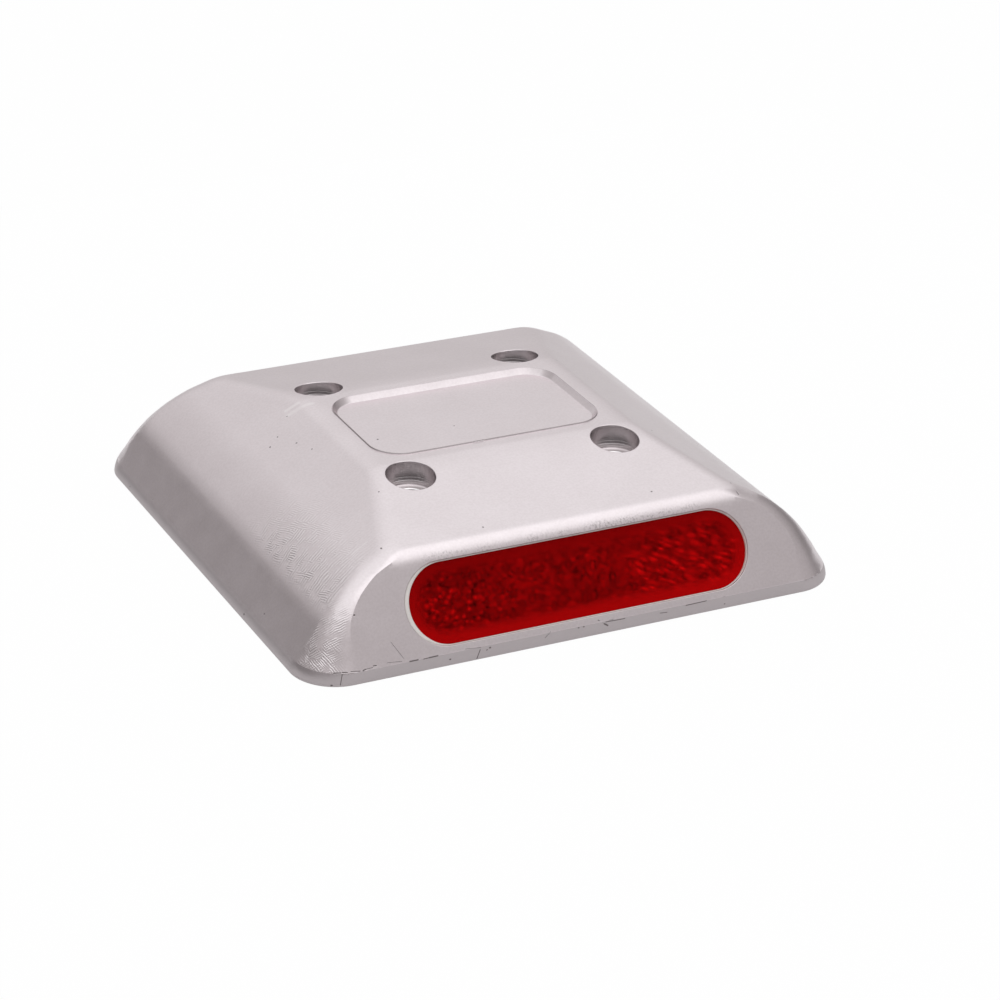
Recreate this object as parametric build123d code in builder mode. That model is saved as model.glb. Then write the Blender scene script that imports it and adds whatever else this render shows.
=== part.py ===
"""Aluminium road stud: a ribbed casting with a bonded prismatic reflector in each end face.

Millimetres, +Z up. The origin is at the middle of the underside. X runs along the reflectors, and the
front reflector faces -Y.
"""
import os
from math import cos, floor, radians, sin, tan

from build123d import *

# Outline of the casting
body_width = 125.0
body_depth = 118.5
body_height = 27.2
base_band = 3.0
corner_radius = 10.0
end_lean = 30.0  # degrees from upright
end_slope = 10.0  # degrees from level, like the slopes below
side_base_slope = 56.0
side_top_slope = 25.5
side_bend_radius = 30.0
side_foot_height = 1.75  # where the steep part of a long side would meet the footprint
side_foot_radius = 5.5
edge_radius = 4.3
crown_radius = 6.0

# Shallow panel in the flat crown
panel_width = 54.0
panel_depth = 31.5
panel_corner_radius = 7.0
panel_drop = 1.3
panel_floor_radius = 0.8
crown_margin = 3.0

# Screw holes, for M6 screws with 10 mm heads
hole_spacing_x = 48.5
hole_spacing_y = 48.0
screw_hole_diameter = 6.6
counterbore_diameter = 10.6
screw_seat_height = 21.5

# Reflector inserts: lens, backing plate and adhesive bed
lens_length = 78.5
lens_height = 16.9
lens_thickness = 2.4
lens_edge_radius = 0.4
lens_rise = 10.2  # from the top of the base band to the lens's middle, up the end face
pocket_shift = 0.8  # the pocket lies a little to the right of the end face's middle
lens_shift = 0.5  # and the lens is bonded a little to the right of the pocket's middle
lens_set_back = 0.2
weld_rim = 1.8
prism_room = 1.2
prism_pitch = 2.4
prism_height = 0.6
prism_root = 0.2
backing_thickness = 1.3
backing_step = 0.4
backing_step_clearance = 0.15
bed_thickness = 0.5
bed_set_back = 0.35
pocket_end_gap = 0.7
pocket_edge_gap = 0.3

# Waffle of cells in the underside
cell_size = 11.0
cell_depth = 16.0
cell_corner_radius = 1.5
rib_thickness = 3.5
wall_thickness = 4.0
boss_wall = 2.8

# How far a cutting shape runs past the surface that it cuts
overrun = 5.0


def crossing(first, first_angle, second, second_angle):
    """Where a line through one point meets a line through another, with angles in degrees from level."""
    first_rise = tan(radians(first_angle))
    second_rise = tan(radians(second_angle))
    run = (second[1] - first[1] - second_rise * (second[0] - first[0])) / (first_rise - second_rise)
    return (first[0] + run, first[1] + run * first_rise)


# Key points of the two half profiles, as (distance from the middle, height)
crown_end = (panel_depth / 2 + crown_margin, body_height)
crown_side = (panel_width / 2 + crown_margin, body_height)
end_foot = (body_depth / 2, base_band)
side_foot = (body_width / 2, side_foot_height)
end_brow = crossing(end_foot, 90 + end_lean, crown_end, -end_slope)
side_brow = crossing(side_foot, 180 - side_base_slope, crown_side, -side_top_slope)
end_toe = (end_foot[0] + (base_band + overrun) * tan(radians(end_lean)), -overrun)
side_toe = (side_foot[0], -overrun)

pocket_depth = lens_set_back + lens_thickness + backing_thickness + bed_thickness
pocket_length = lens_length + 2 * pocket_end_gap
pocket_height = lens_height + 2 * pocket_edge_gap

# The two ends, as the sign of Y
ends = {"front": -1, "rear": 1}


def end_plane(end):
    """Plane of an end face: X along the reflector, Y up the face, origin at the top of the base band."""
    outward = (0, end * cos(radians(end_lean)), sin(radians(end_lean)))
    return Plane(origin=(0, end * end_foot[0], end_foot[1]), x_dir=(-end, 0, 0), z_dir=outward)


def end_slope_plane(end):
    """Plane of the roof slope between the crown and an end face."""
    outward = (0, end * sin(radians(end_slope)), cos(radians(end_slope)))
    return Plane(origin=(0, end * crown_end[0], body_height), x_dir=(1, 0, 0), z_dir=outward)


def side_slope_plane(side):
    """Plane of the roof slope between the crown and a long side."""
    outward = (side * sin(radians(side_top_slope)), 0, cos(radians(side_top_slope)))
    return Plane(origin=(side * crown_side[0], 0, body_height), x_dir=(0, 1, 0), z_dir=outward)


def lies_on(edge, planes):
    """Whether both ends of an edge lie on one of the planes."""
    tolerance = 1e-3
    for plane in planes:
        if all(abs(plane.to_local_coords(point).Z) < tolerance for point in (edge @ 0, edge @ 1)):
            return True
    return False


def cell_room(foot, run_per_height):
    """Width across the underside that the cells may fill, clear of a leaning wall on both sides."""
    wall_lean = (cell_depth - foot[1]) * run_per_height
    wall_across = wall_thickness * (1 + run_per_height**2) ** 0.5
    return 2 * (foot[0] - wall_lean - wall_across)


def cell_centres():
    """Centres of the underside cells: a square grid without those that would cut a screw boss."""
    pitch = cell_size + rib_thickness
    pocket_across = pocket_depth / cos(radians(end_lean))
    room_x = cell_room(side_foot, 1 / tan(radians(side_base_slope)))
    room_y = cell_room((end_foot[0] - pocket_across, end_foot[1]), tan(radians(end_lean)))
    columns = floor((room_x + rib_thickness) / pitch)
    rows = floor((room_y + rib_thickness) / pitch)
    boss_reach = screw_hole_diameter / 2 + boss_wall + cell_size / 2
    centres = []
    for column in range(columns):
        for row in range(rows):
            x = (column - (columns - 1) / 2) * pitch
            y = (row - (rows - 1) / 2) * pitch
            beside_x = abs(abs(x) - hole_spacing_x / 2) < boss_reach
            beside_y = abs(abs(y) - hole_spacing_y / 2) < boss_reach
            if not (beside_x and beside_y):
                centres.append((x, y))
    return centres


# Casting: the two profiles crossed, rounded and trimmed to the footprint
with BuildPart() as body_casting:
    with BuildSketch(Plane.YZ):
        with BuildLine():
            Polyline((0, -overrun), end_toe, end_brow, crown_end, (0, body_height))
            mirror(about=Plane.YZ)
        make_face()
    extrude(amount=body_width, both=True)
    with BuildSketch(Plane.XZ) as side_profile:
        with BuildLine():
            Polyline((0, -overrun), side_toe, side_foot, side_brow, crown_side, (0, body_height))
            mirror(about=Plane.YZ)
        make_face()
        fillet(side_profile.vertices().group_by(Axis.Y)[2], radius=side_bend_radius)
        fillet(side_profile.vertices().group_by(Axis.Y)[1], radius=side_foot_radius)
    extrude(amount=body_depth, both=True, mode=Mode.INTERSECT)

    # Edges round the end faces, then the hips of the roof, then the crown
    for end in ends.values():
        face_edges = body_casting.faces().filter_by(end_plane(end)).edges()
        fillet(face_edges.filter_by_position(Axis.Z, 0, body_height), radius=edge_radius)
    end_slopes = [end_slope_plane(end) for end in ends.values()]
    side_slopes = [side_slope_plane(side) for side in (-1, 1)]
    slope_edges = body_casting.edges().filter_by(lambda edge: lies_on(edge, end_slopes))
    fillet(slope_edges.filter_by(lambda edge: lies_on(edge, side_slopes)), radius=edge_radius)
    fillet(body_casting.faces().sort_by(Axis.Z)[-1].edges(), radius=crown_radius)

    with BuildSketch():
        RectangleRounded(body_width, body_depth, corner_radius)
    extrude(amount=body_height + overrun, mode=Mode.INTERSECT)

    # Panel in the crown
    with BuildSketch(Plane.XY.offset(body_height)):
        RectangleRounded(panel_width, panel_depth, panel_corner_radius)
    extrude(amount=-panel_drop, mode=Mode.SUBTRACT)
    panel_floor = body_height - panel_drop
    floor_edges = body_casting.edges().filter_by_position(Axis.Z, panel_floor, panel_floor)
    fillet(floor_edges, radius=panel_floor_radius)

    # Pockets for the reflectors
    for end in ends.values():
        with BuildSketch(end_plane(end)):
            with Locations((pocket_shift, lens_rise)):
                SlotOverall(pocket_length, pocket_height)
        extrude(amount=-pocket_depth, mode=Mode.SUBTRACT)

    # Underside cells
    with BuildSketch():
        with Locations(*cell_centres()):
            RectangleRounded(cell_size, cell_size, cell_corner_radius)
    extrude(amount=cell_depth, mode=Mode.SUBTRACT)

    # Counterbored screw holes
    with Locations(Plane.XY.offset(body_height)):
        with GridLocations(hole_spacing_x, hole_spacing_y, 2, 2):
            CounterBoreHole(
                radius=screw_hole_diameter / 2,
                counter_bore_radius=counterbore_diameter / 2,
                counter_bore_depth=body_height - screw_seat_height,
            )

# Reflector inserts, one set for each end
lens_back = lens_set_back + lens_thickness
backing_back = lens_back + backing_thickness
cavity_length = lens_length - 2 * weld_rim
cavity_height = lens_height - 2 * weld_rim
step_length = cavity_length - 2 * backing_step_clearance
step_height = cavity_height - 2 * backing_step_clearance
prism_count = floor((cavity_length - cavity_height) / prism_pitch)


def ridge_outline():
    """Section of the prism ridges across the lens, as (along the lens, towards the backing)."""
    start = -prism_count * prism_pitch / 2
    points = [(start, -prism_root), (start, 0)]
    for ridge in range(prism_count):
        points.append((start + (ridge + 0.5) * prism_pitch, prism_height))
        points.append((start + (ridge + 1) * prism_pitch, 0))
    points.append((start + prism_count * prism_pitch, -prism_root))
    return points


pieces = {"body_casting": body_casting}

for name, end in ends.items():
    face = end_plane(end)
    outward = Axis(face.origin, face.z_dir)
    lens_middle = (pocket_shift + lens_shift, lens_rise)

    # Lens: a shallow cup whose rim is welded to the backing, with prism ridges on its inner face
    with BuildPart() as lens:
        with BuildSketch(face.offset(-lens_set_back)):
            with Locations(lens_middle):
                SlotOverall(lens_length, lens_height)
        extrude(amount=-lens_thickness)
        fillet(lens.faces().filter_by(face).sort_by(outward)[-1].edges(), radius=lens_edge_radius)
        with BuildSketch(face.offset(-lens_back)):
            with Locations(lens_middle):
                SlotOverall(cavity_length, cavity_height)
        extrude(amount=prism_room, mode=Mode.SUBTRACT)
        ridge_start = face.offset(prism_room - lens_back).from_local_coords(lens_middle)
        with BuildSketch(Plane(origin=ridge_start, x_dir=face.x_dir, z_dir=face.y_dir)):
            with BuildLine():
                Polyline(*ridge_outline(), close=True)
            make_face()
        extrude(amount=cavity_height / 2, both=True)

    # Backing plate, with a step that centres it in the lens's rim
    with BuildPart() as backing:
        with BuildSketch(face.offset(-backing_back)):
            with Locations(lens_middle):
                SlotOverall(lens_length, lens_height)
        extrude(amount=backing_thickness)
        with BuildSketch(face.offset(-lens_back)):
            with Locations(lens_middle):
                SlotOverall(step_length, step_height)
        extrude(amount=backing_step)

    # Adhesive bed: the rest of the pocket, up to just below the end face
    with BuildPart() as bed:
        with BuildSketch(face.offset(-pocket_depth)):
            with Locations((pocket_shift, lens_rise)):
                SlotOverall(pocket_length, pocket_height)
        extrude(amount=pocket_depth - bed_set_back)
        with BuildSketch(face.offset(-backing_back)):
            with Locations(lens_middle):
                SlotOverall(lens_length, lens_height)
        extrude(amount=pocket_depth, mode=Mode.SUBTRACT)

    pieces[name + "_lens"] = lens
    pieces[name + "_reflector_backing"] = backing
    pieces[name + "_adhesive_bed"] = bed

os.makedirs("parts", exist_ok=True)
for name, piece in pieces.items():
    piece.part.label = name
    export_step(piece.part, "parts/" + name + ".step")
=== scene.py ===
"""Aluminium road stud on a white floor: the casting, its reflectors and their materials.

Shapes are in millimetres, and meshes are scaled to metres when they are made. Materials and lights are in
metres. X runs along the reflectors, the front reflector faces -Y, and the underside lies on Z = 0.
"""

from math import ceil, cos, pi, radians, sin, sqrt, tan

import bmesh
import bpy
import numpy as np
from mathutils import Matrix, Vector
from mathutils.geometry import delaunay_2d_cdt


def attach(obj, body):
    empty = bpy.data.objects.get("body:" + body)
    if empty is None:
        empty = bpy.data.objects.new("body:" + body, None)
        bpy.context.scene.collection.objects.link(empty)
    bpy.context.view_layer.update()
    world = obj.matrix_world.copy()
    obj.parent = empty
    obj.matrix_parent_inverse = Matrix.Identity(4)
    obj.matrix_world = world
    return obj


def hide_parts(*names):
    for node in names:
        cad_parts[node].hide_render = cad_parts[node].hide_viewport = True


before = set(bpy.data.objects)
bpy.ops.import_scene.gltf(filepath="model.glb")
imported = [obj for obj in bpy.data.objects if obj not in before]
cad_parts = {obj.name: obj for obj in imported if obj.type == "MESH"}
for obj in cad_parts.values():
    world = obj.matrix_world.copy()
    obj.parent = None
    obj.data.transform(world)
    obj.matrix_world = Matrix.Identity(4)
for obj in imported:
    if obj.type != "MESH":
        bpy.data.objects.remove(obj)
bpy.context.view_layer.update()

millimetre = 0.001
merge_distance = 2e-7  # metres

# Outline of the casting
body_width = 125.0
body_depth = 118.5
body_height = 27.2
base_band = 3.0
corner_radius = 10.0
end_lean = radians(30)  # from upright
end_slope = radians(10)  # from level, like the slopes below
side_base_slope = radians(56)
side_top_slope = radians(25.5)
side_bend_radius = 30.0
side_foot_height = 1.75  # where the steep part of a long side would meet the footprint
side_foot_radius = 5.5
corner_heights = (base_band, 6.0, 9.0, 12.0, 15.0, 19.0, 22.5)
corner_radii = (corner_radius, 8.4, 7.1, 6.3, 5.8, 5.25, 4.3)  # of the upright edges, at those heights
crease_heights = (4.0, 7.0, 12.0, 16.0, 19.0, 22.5)
side_creases = (0.0, 14.0, 17.0, 20.0, 20.0, 0.0)  # degrees between an upright edge and a long side
end_creases = (0.0, 5.0, 16.0, 20.0, 20.0, 0.0)  # degrees between an upright edge and an end face
brow_reach = 2.5  # height between an end face and the roof within which their edge is rounded
hip_reach = 1.1  # the same for a long side
hip_share = 0.45  # part of an upright edge, from its end face, over which the one reach becomes the other
crown_radius = 6.0
crown_side_radius = 12.0
foot_round = 0.5
foot_height = 0.6
wall_insets = (0.36, 0.25, 0.16, 0.1, 0.05, 0.02, 0.002)  # rings where the skin turns down to the foot
foot_profile = ((0.0, foot_height), (0.06, 0.25), (0.2, 0.06), (0.45, 0.0))  # inset and height

# Shallow panel in the flat crown
panel_width = 54.0
panel_depth = 31.5
panel_corner_radius = 7.0
panel_drop = 1.3
panel_lip = 0.2
panel_profile = (  # growth from the panel's outline and drop
    (0.06, 0.0), (0.0, 0.03), (-0.05, 0.1), (-0.95, 1.18), (-1.06, 1.26), (-1.2, panel_drop),
)
crown_margin = 3.0

# Screw holes
hole_spacing_x = 48.5
hole_spacing_y = 48.0
screw_hole_radius = 3.3
counterbore_radius = 5.3
screw_seat_height = 21.5
seat_bevel = 0.2
exit_bevel = 0.3  # at the underside
hole_lip = 0.45
lip_profile = (  # growth from the bore and rise from the skin
    (0.25, 0.03), (0.1, 0.0), (0.02, -0.1), (0.0, -0.3),
)
bore_profile = (  # growth from the bore and height above the screw's seat
    (0.0, 1.75), (-0.03, 1.7), (-0.03, 1.05), (-0.07, 1.0), (-0.07, 0.4), (-0.18, 0.12), (-0.5, 0.0),
)

# Pockets and reflectors
lens_length = 78.5
lens_height = 16.9
lens_thickness = 2.4
lens_rise = 10.2
lens_shift = 1.3  # to the right of the end face's middle
lens_set_back = 0.2
pocket_shift = 0.8
pocket_depth = 4.4
pocket_length = 79.9
pocket_height = 17.5
pocket_lip = 0.1
pocket_profile = ((0.03, 0.02), (0.0, 0.08), (0.0, pocket_depth))  # growth and depth

# Waffle of cells in the underside
cell_size = 11.0
cell_depth = 16.0
cell_corner_radius = 1.5
cell_profile = ((0.25, cell_depth - 1.2), (0.45, cell_depth - 0.4), (1.2, cell_depth))  # inset and height
rib_thickness = 3.5
cell_columns = 6
cell_rows = 6
boss_reach = 11.6

ends = {"front": -1, "rear": 1}


def link_object(name, data):
    """Makes an object and puts it in the scene."""
    made = bpy.data.objects.new(name, data)
    bpy.context.scene.collection.objects.link(made)
    return made


class Shell:
    """Points and faces of a mesh that is built loop by loop."""

    def __init__(self):
        self.points = []
        self.faces = []

    def add(self, points):
        """Adds points and returns their numbers."""
        start = len(self.points)
        self.points.extend(tuple(float(value) for value in point) for point in points)
        return list(range(start, len(self.points)))

    def fill(self, numbers, triangles):
        """Adds triangles whose corners count along a list of point numbers."""
        self.faces.extend(tuple(numbers[corner] for corner in triangle) for triangle in triangles)

    def bridge(self, first, second):
        """Joins two closed loops of as many points with a band of four-sided faces."""
        for here, there in zip(range(-1, len(first) - 1), range(len(first))):
            self.faces.append((first[here], first[there], second[there], second[here]))

    def walls(self, loop, rings):
        """Bridges a loop to each ring of points in turn and returns the last one's numbers."""
        for ring in rings:
            following = self.add(ring)
            self.bridge(loop, following)
            loop = following
        return loop

    def cap(self, loop):
        """Closes a loop with one face."""
        self.faces.append(tuple(loop))

    def make(self, name, sharp_angle):
        """Makes an object with outward normals and smooth shading up to an angle between faces."""
        mesh = bpy.data.meshes.new(name)
        mesh.from_pydata([Vector(point) * millimetre for point in self.points], [], self.faces)
        work = bmesh.new()
        work.from_mesh(mesh)
        bmesh.ops.remove_doubles(work, verts=work.verts, dist=merge_distance)
        bmesh.ops.recalc_face_normals(work, faces=work.faces)
        work.to_mesh(mesh)
        work.free()
        mesh.polygons.foreach_set("use_smooth", [True] * len(mesh.polygons))
        mesh.set_sharp_from_angle(angle=sharp_angle)
        return link_object(name, mesh)


# Plan shapes and their distances
def rounded_rectangle(half_x, half_y, radius, spacing):
    """Points round a rectangle with rounded corners, as an array of X and Y."""
    arc_steps = max(8, ceil(radius * pi / 2 / spacing))
    steps_x = max(2, ceil(2 * (half_x - radius) / spacing))
    steps_y = max(2, ceil(2 * (half_y - radius) / spacing))
    points = []
    corners = ((1, 1), (-1, 1), (-1, -1), (1, -1))
    for number, (side_x, side_y) in enumerate(corners):
        centre = np.array((side_x * (half_x - radius), side_y * (half_y - radius)))
        for step in range(arc_steps + 1):
            angle = pi / 2 * (number + step / arc_steps)
            points.append(centre + radius * np.array((cos(angle), sin(angle))))
        next_x, next_y = corners[(number + 1) % 4]
        start = points[-1]
        angle = pi / 2 * (number + 1)
        finish = np.array((next_x * (half_x - radius), next_y * (half_y - radius)))
        finish = finish + radius * np.array((cos(angle), sin(angle)))
        steps = steps_y if number % 2 else steps_x
        for step in range(1, steps):
            points.append(start + (finish - start) * step / steps)
    return np.array(points)


def rectangle_distance(x, y, half_x, half_y, radius):
    """Distance outside a rounded rectangle, negative inside."""
    over_x = np.abs(x) - (half_x - radius)
    over_y = np.abs(y) - (half_y - radius)
    outside = np.hypot(np.maximum(over_x, 0), np.maximum(over_y, 0))
    return outside + np.minimum(np.maximum(over_x, over_y), 0) - radius


def circle(centre, radius, steps):
    """Points round a circle, as an array of X and Y."""
    angles = np.arange(steps) * 2 * pi / steps
    return np.column_stack((centre[0] + radius * np.cos(angles), centre[1] + radius * np.sin(angles)))


def stadium(length, height, spacing):
    """Points round a slot with half-round ends, as an array of U and V about its middle."""
    radius = height / 2
    half_run = length / 2 - radius
    run_steps = ceil(2 * half_run / spacing)
    arc_steps = ceil(pi * radius / spacing)
    runs = -half_run + 2 * half_run * np.arange(run_steps) / run_steps
    angles = -pi / 2 + pi * np.arange(arc_steps) / arc_steps
    lower = np.column_stack((runs, np.full(run_steps, -radius)))
    right = np.column_stack((half_run + radius * np.cos(angles), radius * np.sin(angles)))
    return np.vstack((lower, right, -lower, -right))


def stadium_distance(u, v, length, height):
    """Distance outside a slot with half-round ends, negative inside."""
    half_run = (length - height) / 2
    return np.hypot(np.maximum(np.abs(u) - half_run, 0), v) - height / 2


def grown(loop, inner_x, inner_y, grow):
    """A loop moved outward by grow, away from the nearest point of a rectangle inside it."""
    inner = np.column_stack((np.clip(loop[:, 0], -inner_x, inner_x), np.clip(loop[:, 1], -inner_y, inner_y)))
    outward = (loop - inner) / np.linalg.norm(loop - inner, axis=1)[:, None]
    return loop + outward * grow


def evenly(loop, count):
    """A closed loop as a set number of points, evenly spaced."""
    closed = np.vstack((loop, loop[:1]))
    run = np.concatenate(((0,), np.cumsum(np.linalg.norm(np.diff(closed, axis=0), axis=1))))
    wanted = np.linspace(0, run[-1], count, endpoint=False)
    return np.column_stack((np.interp(wanted, run, closed[:, 0]), np.interp(wanted, run, closed[:, 1])))


def level(points, height):
    """The same plan points with a height, which may be one for each."""
    return np.column_stack((points, np.broadcast_to(height, len(points))))


def smooth(value, start, finish):
    """Rises smoothly from 0 to 1 between two values."""
    share = np.clip((value - start) / (finish - start), 0, 1)
    return share * share * (3 - 2 * share)


def crossing(first, first_angle, second, second_angle):
    """Where a line through one point meets a line through another, with angles from level."""
    first_rise = tan(first_angle)
    second_rise = tan(second_angle)
    run = (second[1] - first[1] - second_rise * (second[0] - first[0])) / (first_rise - second_rise)
    return (first[0] + run, first[1] + run * first_rise)


def triangulate(loops, loose, inside):
    """Triangles over a plan: closed loops become edges, and faces whose middle fails a test are left out.

    Returns the plan points, the triangles and the point numbers of each loop.
    """
    plan = []
    edges = []
    spans = []
    for loop in loops:
        start = len(plan)
        plan.extend(loop)
        count = len(loop)
        edges.extend((start + number, start + (number + 1) % count) for number in range(count))
        spans.append(range(start, start + count))
    plan.extend(loose)
    result = delaunay_2d_cdt([Vector(point) for point in plan], edges, [], 0, 1e-7, True)
    points = np.array([tuple(point) for point in result[0]])
    triangles = np.array(result[2])
    middles = points[triangles].mean(axis=1)
    kept = triangles[inside(middles[:, 0], middles[:, 1])]
    renumbered = {}
    for number, sources in enumerate(result[3]):
        for source in sources:
            renumbered[source] = number
    return points, kept, [[renumbered[number] for number in span] for span in spans]


class Profile:
    """Height of a half profile whose inner corners are rounded."""

    arc_points = 33
    samples = 6000

    def __init__(self, corners, radii):
        path = [np.array(corners[0], float)]
        for before, corner, after, radius in zip(corners, corners[1:], corners[2:], radii):
            corner = np.array(corner, float)
            inward = (corner - before) / np.linalg.norm(corner - before)
            onward = (after - corner) / np.linalg.norm(after - corner)
            turn = np.arccos(np.clip(inward @ onward, -1, 1))
            start = corner - radius * tan(turn / 2) * inward
            down = np.array((inward[1], -inward[0]))
            for angle in np.linspace(0, turn, self.arc_points):
                path.append(start + radius * (sin(angle) * inward + (1 - cos(angle)) * down))
        path.append(np.array(corners[-1], float))
        path = np.array(path)
        outward = np.concatenate(((True,), np.diff(path[:, 0]) > 1e-9))
        self.distance = np.linspace(0, path[-1][0], self.samples)
        self.heights = np.interp(self.distance, path[outward, 0], path[outward, 1])

    def height(self, distance):
        return np.interp(distance, self.distance, self.heights)


# Half profiles, with corners as (distance from the middle, height)
crown_end = (panel_depth / 2 + crown_margin, body_height)
crown_side = (panel_width / 2 + crown_margin, body_height)
end_foot = (body_depth / 2, base_band)
side_foot = (body_width / 2, side_foot_height)
side_toe = (body_width / 2, -body_height)
side_brow = crossing(side_foot, pi - side_base_slope, crown_side, -side_top_slope)
roof_end = (end_foot[0], body_height - (end_foot[0] - crown_end[0]) * tan(end_slope))
roof_profile = Profile(((0, body_height), crown_end, roof_end), (crown_radius,))
side_profile = Profile(
    ((0, body_height), crown_side, side_brow, side_foot, side_toe),
    (crown_side_radius, side_bend_radius, side_foot_radius),
)


# The casting's outer skin as a height over the plan
def slice_at(height):
    """Half width, half depth and corner radius of the walls' outline at a height, and a corner's creases."""
    half_width = np.interp(height, side_profile.heights[::-1], side_profile.distance[::-1])
    half_depth = end_foot[0] - np.maximum(height - end_foot[1], 0) * tan(end_lean)
    radius = np.interp(height, corner_heights, corner_radii)
    side_crease = np.radians(np.interp(height, crease_heights, side_creases))
    end_crease = np.radians(np.interp(height, crease_heights, end_creases))
    return half_width, half_depth, radius, side_crease, end_crease


def past_corner(x, y, height):
    """How far points lie past the middle of a corner's round, in X and in Y."""
    half_width, half_depth, radius, side_crease, end_crease = slice_at(height)
    past_x = np.maximum(np.abs(x) - half_width + radius * np.cos(side_crease), 0)
    past_y = np.maximum(np.abs(y) - half_depth + radius * np.cos(end_crease), 0)
    return past_x, past_y


def wall_height(x, y):
    """Height of the long sides and end faces with the rounded edges between them, found by halving."""
    halvings = 30
    low = np.zeros(len(x))
    high = np.full(len(x), body_height)
    for _ in range(halvings):
        middle = (low + high) / 2
        half_width, half_depth, radius = slice_at(middle)[:3]
        inside = (np.abs(x) < half_width) & (np.abs(y) < half_depth)
        inside &= np.hypot(*past_corner(x, y, middle)) < radius
        low = np.where(inside, middle, low)
        high = np.where(inside, high, middle)
    return (low + high) / 2


def roof_height(x, y):
    """Height of the sloping roof."""
    return roof_profile.height(np.abs(y))


def corner_share(x, y, z):
    """How far round an upright edge points lie, from 0 on a long side to 1 on an end face."""
    past_x, past_y = past_corner(x, y, z)
    return np.arctan2(past_y, past_x) * 2 / pi


def skin_height(x, y):
    """Height of the skin: the walls under the sloping roof, with rounded edges between them."""
    wall = wall_height(x, y)
    roof = roof_height(x, y)
    sideways = smooth(1 - corner_share(x, y, wall), 0, hip_share)
    reach = brow_reach + (hip_reach - brow_reach) * sideways
    lead = (wall - roof) / reach
    rounded = wall - reach * np.clip((1 + lead) / 2, 0, 1) ** 2
    return np.where(lead > 1, roof, rounded)


def skin_normal(x, y):
    """Unit normals of the skin, as an array of three columns."""
    step = 0.005
    fall_x = (skin_height(x - step, y) - skin_height(x + step, y)) / (2 * step)
    fall_y = (skin_height(x, y - step) - skin_height(x, y + step)) / (2 * step)
    length = np.sqrt(fall_x**2 + fall_y**2 + 1)
    return np.column_stack((fall_x / length, fall_y / length, 1 / length))


def face_point(end, u, v, depth=0.0):
    """Points on an end face: U to the right, V up the face from the base band, depth into the face."""
    y = end_foot[0] - v * sin(end_lean) - depth * cos(end_lean)
    z = end_foot[1] + v * cos(end_lean) - depth * sin(end_lean)
    return np.column_stack((-end * u, end * np.broadcast_to(y, len(u)), np.broadcast_to(z, len(u))))


def on_pocket(end, points, depth=0.0):
    """Points given about a pocket's middle, at a depth below the end face."""
    return face_point(end, points[:, 0] + pocket_shift, points[:, 1] + lens_rise, depth)


def on_lens(end, points, depth):
    """Points given about a lens's middle, at a depth below the end face."""
    return face_point(end, points[:, 0] + lens_shift, points[:, 1] + lens_rise, depth)


signs = ((-1, -1), (-1, 1), (1, -1), (1, 1))
hole_centres = [(side_x * hole_spacing_x / 2, side_y * hole_spacing_y / 2) for side_x, side_y in signs]

cell_pitch = cell_size + rib_thickness
cell_centres = []
for column in range(cell_columns):
    for row in range(cell_rows):
        x = (column - (cell_columns - 1) / 2) * cell_pitch
        y = (row - (cell_rows - 1) / 2) * cell_pitch
        if abs(abs(x) - hole_spacing_x / 2) < boss_reach and abs(abs(y) - hole_spacing_y / 2) < boss_reach:
            continue
        cell_centres.append((x, y))

# Mesh of the casting: spacings, then margins between its loose points and its cuts and outline
outline_spacing = 0.45
rim_spacing = 0.5
ring_spacing = 0.5
point_spacing = 0.8
around_spacing = 0.6
strip_spacing = 0.33
crease_spacing = 0.08
cell_spacing = 0.8
hole_steps = 96
lip_rings = (0.35, 0.8)  # distances outside the rims of the holes and pockets
keep_clear = 1.3
edge_clear = 0.2
lip_clear = 0.1
pocket_chord = 0.006  # more than the chords of a rim cut inside its arcs
cell_chord = 0.012
outline_chord = 0.02

outline = rounded_rectangle(
    body_width / 2 - foot_round, body_depth / 2 - foot_round, corner_radius - foot_round, outline_spacing
)
panel_rim = rounded_rectangle(
    panel_width / 2 + panel_lip, panel_depth / 2 + panel_lip, panel_corner_radius + panel_lip, rim_spacing
)
hole_rims = [circle(centre, counterbore_radius + hole_lip, hole_steps) for centre in hole_centres]
pocket_rim = stadium(pocket_length + 2 * pocket_lip, pocket_height + 2 * pocket_lip, rim_spacing)
pocket_rims = [on_pocket(end, pocket_rim)[:, :2] for end in ends.values()]


def clear_of_holes(x, y, radius):
    """Whether plan points lie farther than a radius from the middle of every screw hole."""
    clear = np.ones(len(x), bool)
    for centre in hole_centres:
        clear &= np.hypot(x - centre[0], y - centre[1]) > radius
    return clear


def clear_of_cuts(x, y, margin):
    """Whether plan points lie outside every cut in the skin by a margin."""
    from_panel = rectangle_distance(x, y, panel_width / 2, panel_depth / 2, panel_corner_radius)
    clear = from_panel > panel_lip + margin
    clear &= clear_of_holes(x, y, (counterbore_radius + hole_lip) * cos(pi / hole_steps) + margin)
    along = -np.sign(y) * x - pocket_shift
    up_face = (end_foot[0] - np.abs(y)) / sin(end_lean) - lens_rise
    from_pocket = stadium_distance(along, up_face, pocket_length, pocket_height)
    return clear & (from_pocket > pocket_lip - pocket_chord + margin)


def inside_outline(x, y, margin):
    """Whether plan points lie inside the skin's outline by a margin."""
    return rectangle_distance(x, y, body_width / 2, body_depth / 2, corner_radius) < -foot_round - margin


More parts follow.
